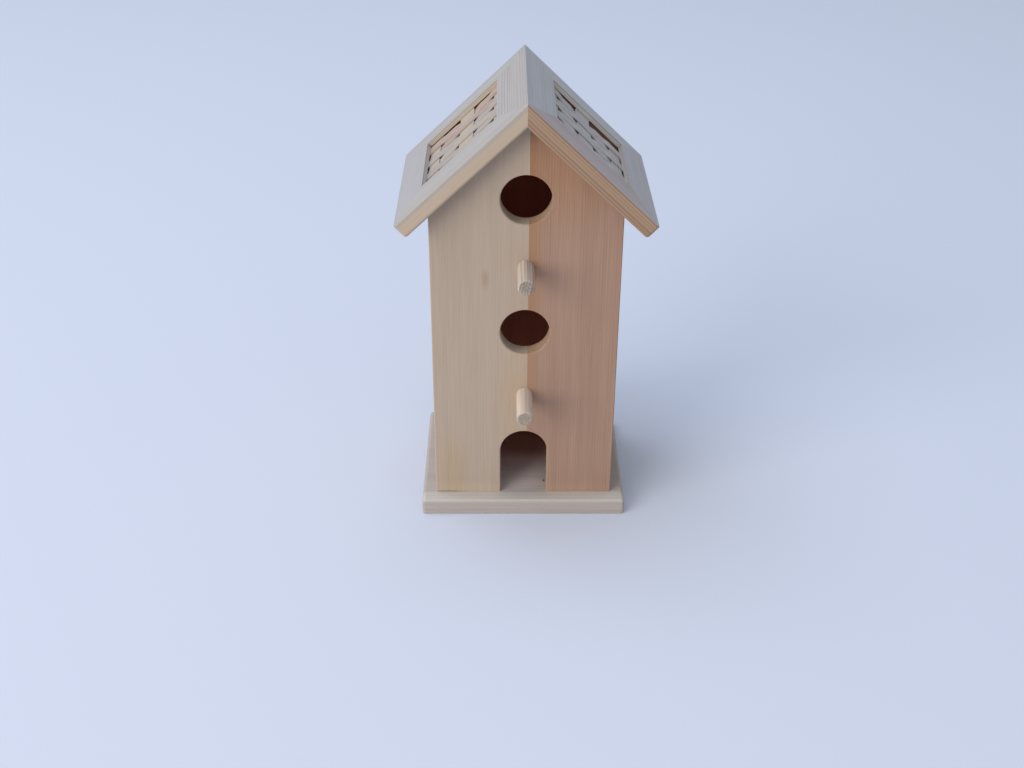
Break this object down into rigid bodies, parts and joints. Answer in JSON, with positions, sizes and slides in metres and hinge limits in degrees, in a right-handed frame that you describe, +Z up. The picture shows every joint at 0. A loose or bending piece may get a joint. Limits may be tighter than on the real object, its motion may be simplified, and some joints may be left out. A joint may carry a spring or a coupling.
{
  "type": "wooden birdhouse",
  "caption": "Tall wooden birdhouse with round entrances, an arched doorway, dowel perches and a gabled roof of mitred frames around woven panels.",
  "frame": {"origin": "centre of the base's underside, on the surface the house stands on", "axes": "+Z up, -Y out of the front with the entrances, +X to the right as seen from the front; the ridge runs along Y"},
  "size_m": [0.1402, 0.1201, 0.255],
  "materials": {
    "base_board": "sanded, unfinished",
    "pale_front_board": "sanded, unfinished",
    "warm_front_board": "sanded, unfinished",
    "wall_board": "sanded, unfinished",
    "dowel": "sanded, unfinished",
    "roof_rail": "sanded, unfinished",
    "woven_strip": "thin split wood, unfinished"
  },
  "bodies": {
    "root": {"base": "base_board", "front_board_left": "pale_front_board", "front_board_right": "warm_front_board", "back_wall": "wall_board", "side_wall_left": "wall_board", "side_wall_right": "wall_board", "upper_perch": "dowel", "lower_perch": "dowel", "roof_left_front_rail": "roof_rail", "roof_left_eave_rail": "roof_rail", "roof_left_back_rail": "roof_rail", "roof_left_ridge_rail": "roof_rail", "roof_right_front_rail": "roof_rail", "roof_right_eave_rail": "roof_rail", "roof_right_back_rail": "roof_rail", "roof_right_ridge_rail": "roof_rail", "roof_left_long_strip_1": "woven_strip", "roof_left_long_strip_2": "woven_strip", "roof_left_long_strip_3": "woven_strip", "roof_left_cross_strip_1": "woven_strip", "roof_left_cross_strip_2": "woven_strip", "roof_left_cross_strip_3": "woven_strip", "roof_left_cross_strip_4": "woven_strip", "roof_left_cross_strip_5": "woven_strip", "roof_left_cross_strip_6": "woven_strip", "roof_left_cross_strip_7": "woven_strip", "roof_right_long_strip_1": "woven_strip", "roof_right_long_strip_2": "woven_strip", "roof_right_long_strip_3": "woven_strip", "roof_right_cross_strip_1": "woven_strip", "roof_right_cross_strip_2": "woven_strip", "roof_right_cross_strip_3": "woven_strip", "roof_right_cross_strip_4": "woven_strip", "roof_right_cross_strip_5": "woven_strip", "roof_right_cross_strip_6": "woven_strip", "roof_right_cross_strip_7": "woven_strip"}
  },
  "joints": []
}
